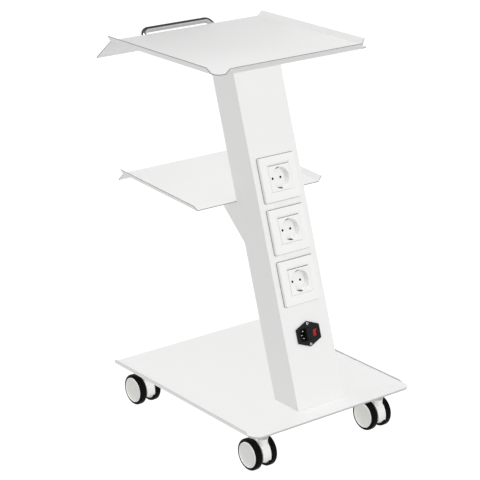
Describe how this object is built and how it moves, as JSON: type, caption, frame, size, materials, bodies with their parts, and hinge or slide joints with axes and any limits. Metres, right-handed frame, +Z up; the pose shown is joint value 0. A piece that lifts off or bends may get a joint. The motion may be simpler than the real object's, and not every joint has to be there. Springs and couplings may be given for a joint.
{
  "type": "rolling salon trolley",
  "caption": "White steel trolley: a leaning box column with mains sockets and a fused, switched inlet, a middle shelf and a lipped top tray with a handle, on a flat base with twin-wheel casters",
  "frame": {"origin": "centre of the bounding box in plan, on the floor under the wheels", "axes": "+Z up; -Y the side with the sockets and the inlet; +Y the side with the tray's handle; +X right when facing the sockets"},
  "size_m": [0.39, 0.5218, 0.764],
  "materials": {
    "white_powder_coat": "satin powder coat",
    "white_socket_plastic": "glossy moulded",
    "warm_grey_plastic": "satin moulded",
    "black_plastic": "satin moulded",
    "red_rocker_plastic": "glossy moulded",
    "black_tyre": "smooth, slightly shiny",
    "stainless_steel": "brushed along the tube",
    "zinc_plated_steel": "zinc plated",
    "nickelled_brass": "nickel plated",
    "fuse_glass": "clear"
  },
  "bodies": {
    "trolley": {"base_plate": "white_powder_coat", "column_shell": "white_powder_coat", "column_rear_cover": "white_powder_coat", "foot_bolt_left": "zinc_plated_steel", "foot_bolt_right": "zinc_plated_steel", "top_tray": "white_powder_coat", "tray_handle": "stainless_steel", "handle_screw_left": "zinc_plated_steel", "handle_screw_right": "zinc_plated_steel", "middle_shelf": "white_powder_coat", "shelf_bracket": "white_powder_coat", "socket_1_frame": "white_socket_plastic", "socket_1_insert": "white_socket_plastic", "socket_1_earth_clip": "nickelled_brass", "socket_1_mechanism": "black_plastic", "socket_2_frame": "white_socket_plastic", "socket_2_insert": "white_socket_plastic", "socket_2_earth_clip": "nickelled_brass", "socket_2_mechanism": "black_plastic", "socket_3_frame": "white_socket_plastic", "socket_3_insert": "white_socket_plastic", "socket_3_earth_clip": "nickelled_brass", "socket_3_mechanism": "black_plastic", "inlet_housing": "black_plastic", "inlet_pin_line": "nickelled_brass", "inlet_pin_neutral": "nickelled_brass", "inlet_pin_earth": "nickelled_brass", "inlet_screw_top": "zinc_plated_steel", "inlet_screw_bottom": "zinc_plated_steel", "caster_front_left_stem": "zinc_plated_steel", "caster_front_right_stem": "zinc_plated_steel", "caster_rear_left_stem": "zinc_plated_steel", "caster_rear_right_stem": "zinc_plated_steel"},
    "caster_front_left": {"caster_front_left_hood": "warm_grey_plastic", "caster_front_left_axle": "zinc_plated_steel"},
    "caster_front_left_outer_wheel": {"caster_front_left_outer_hub": "warm_grey_plastic", "caster_front_left_outer_tyre": "black_tyre"},
    "caster_front_left_inner_wheel": {"caster_front_left_inner_hub": "warm_grey_plastic", "caster_front_left_inner_tyre": "black_tyre"},
    "caster_front_right": {"caster_front_right_hood": "warm_grey_plastic", "caster_front_right_axle": "zinc_plated_steel"},
    "caster_front_right_outer_wheel": {"caster_front_right_outer_hub": "warm_grey_plastic", "caster_front_right_outer_tyre": "black_tyre"},
    "caster_front_right_inner_wheel": {"caster_front_right_inner_hub": "warm_grey_plastic", "caster_front_right_inner_tyre": "black_tyre"},
    "caster_rear_left": {"caster_rear_left_hood": "warm_grey_plastic", "caster_rear_left_axle": "zinc_plated_steel"},
    "caster_rear_left_outer_wheel": {"caster_rear_left_outer_hub": "warm_grey_plastic", "caster_rear_left_outer_tyre": "black_tyre"},
    "caster_rear_left_inner_wheel": {"caster_rear_left_inner_hub": "warm_grey_plastic", "caster_rear_left_inner_tyre": "black_tyre"},
    "caster_rear_right": {"caster_rear_right_hood": "warm_grey_plastic", "caster_rear_right_axle": "zinc_plated_steel"},
    "caster_rear_right_outer_wheel": {"caster_rear_right_outer_hub": "warm_grey_plastic", "caster_rear_right_outer_tyre": "black_tyre"},
    "caster_rear_right_inner_wheel": {"caster_rear_right_inner_hub": "warm_grey_plastic", "caster_rear_right_inner_tyre": "black_tyre"},
    "fuse_drawer": {"fuse_drawer": "black_plastic", "fuse": "fuse_glass"},
    "rocker": {"rocker_switch": "red_rocker_plastic"}
  },
  "joints": [
    {"name": "caster_front_left_swivel", "type": "hinge", "parent": "trolley", "child": "caster_front_left", "pos_m": [-0.1445, -0.21991, 0.078], "axis": [0, 0, 1], "continuous": true},
    {"name": "caster_front_left_outer_roll", "type": "hinge", "parent": "caster_front_left", "child": "caster_front_left_outer_wheel", "pos_m": [-0.1445, -0.20391, 0.0315], "axis": [1, 0, 0], "continuous": true},
    {"name": "caster_front_left_inner_roll", "type": "hinge", "parent": "caster_front_left", "child": "caster_front_left_inner_wheel", "pos_m": [-0.1445, -0.20391, 0.0315], "axis": [1, 0, 0], "continuous": true},
    {"name": "caster_front_right_swivel", "type": "hinge", "parent": "trolley", "child": "caster_front_right", "pos_m": [0.1445, -0.21991, 0.078], "axis": [0, 0, 1], "continuous": true},
    {"name": "caster_front_right_outer_roll", "type": "hinge", "parent": "caster_front_right", "child": "caster_front_right_outer_wheel", "pos_m": [0.1445, -0.20391, 0.0315], "axis": [1, 0, 0], "continuous": true},
    {"name": "caster_front_right_inner_roll", "type": "hinge", "parent": "caster_front_right", "child": "caster_front_right_inner_wheel", "pos_m": [0.1445, -0.20391, 0.0315], "axis": [1, 0, 0], "continuous": true},
    {"name": "caster_rear_left_swivel", "type": "hinge", "parent": "trolley", "child": "caster_rear_left", "pos_m": [-0.1445, 0.15809, 0.078], "axis": [0, 0, 1], "continuous": true},
    {"name": "caster_rear_left_outer_roll", "type": "hinge", "parent": "caster_rear_left", "child": "caster_rear_left_outer_wheel", "pos_m": [-0.1445, 0.17409, 0.0315], "axis": [1, 0, 0], "continuous": true},
    {"name": "caster_rear_left_inner_roll", "type": "hinge", "parent": "caster_rear_left", "child": "caster_rear_left_inner_wheel", "pos_m": [-0.1445, 0.17409, 0.0315], "axis": [1, 0, 0], "continuous": true},
    {"name": "caster_rear_right_swivel", "type": "hinge", "parent": "trolley", "child": "caster_rear_right", "pos_m": [0.1445, 0.15809, 0.078], "axis": [0, 0, 1], "continuous": true},
    {"name": "caster_rear_right_outer_roll", "type": "hinge", "parent": "caster_rear_right", "child": "caster_rear_right_outer_wheel", "pos_m": [0.1445, 0.17409, 0.0315], "axis": [1, 0, 0], "continuous": true},
    {"name": "caster_rear_right_inner_roll", "type": "hinge", "parent": "caster_rear_right", "child": "caster_rear_right_inner_wheel", "pos_m": [0.1445, 0.17409, 0.0315], "axis": [1, 0, 0], "continuous": true},
    {"name": "fuse_drawer_slide", "type": "slide", "parent": "trolley", "child": "fuse_drawer", "axis": [0, -0.9511, 0.309], "range_m": [0, 0.018]},
    {"name": "rocker_press", "type": "hinge", "parent": "trolley", "child": "rocker", "pos_m": [0.015, -0.17548, 0.22634], "axis": [1, 0, 0], "range_deg": [-20, 0]}
  ]
}
